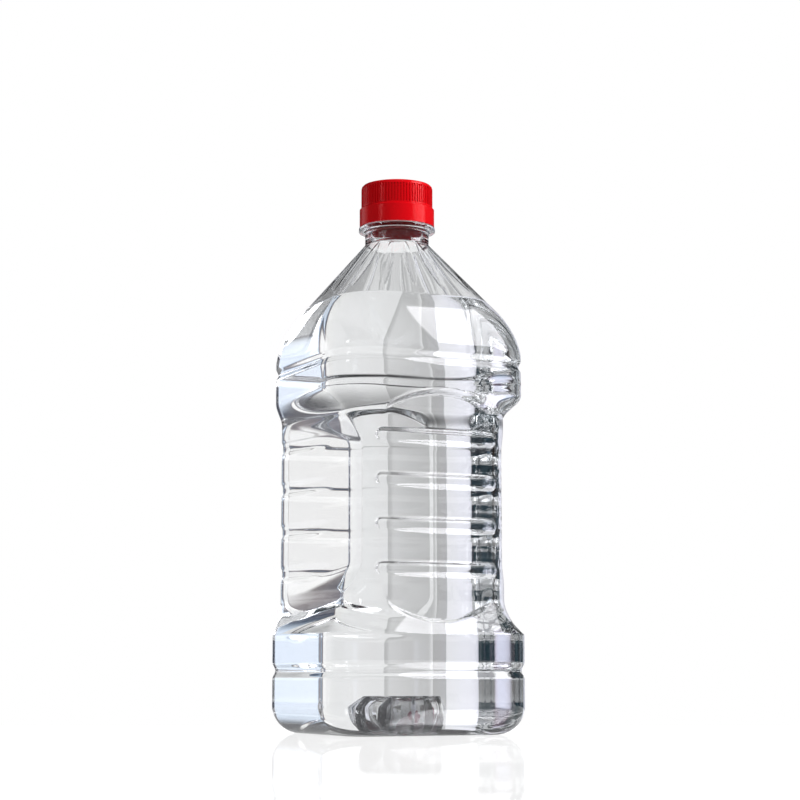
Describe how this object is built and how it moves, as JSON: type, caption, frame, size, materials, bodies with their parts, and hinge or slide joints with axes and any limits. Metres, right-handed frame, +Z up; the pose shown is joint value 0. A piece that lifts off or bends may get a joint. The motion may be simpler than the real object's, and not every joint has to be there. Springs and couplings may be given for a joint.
{
  "type": "square plastic bottle",
  "caption": "Clear square plastic bottle with a ribbed waist, fluted shoulder and push-up base, filled with clear drink and closed by a ribbed red screw cap over a smooth tamper band.",
  "frame": {"origin": "centre of the square base, on the standing face", "axes": "+Z up through the neck; the flat sides face X and Y, and -Y is the front, towards which the grips deepen"},
  "size_m": [0.087, 0.087, 0.2264],
  "materials": {
    "clear_plastic": "clear gloss",
    "drink": "clear liquid",
    "red_plastic": "satin moulded"
  },
  "bodies": {
    "root": {"bottle": "clear_plastic", "liquid": "drink", "cap": "red_plastic", "tamper_band": "red_plastic"}
  },
  "joints": []
}
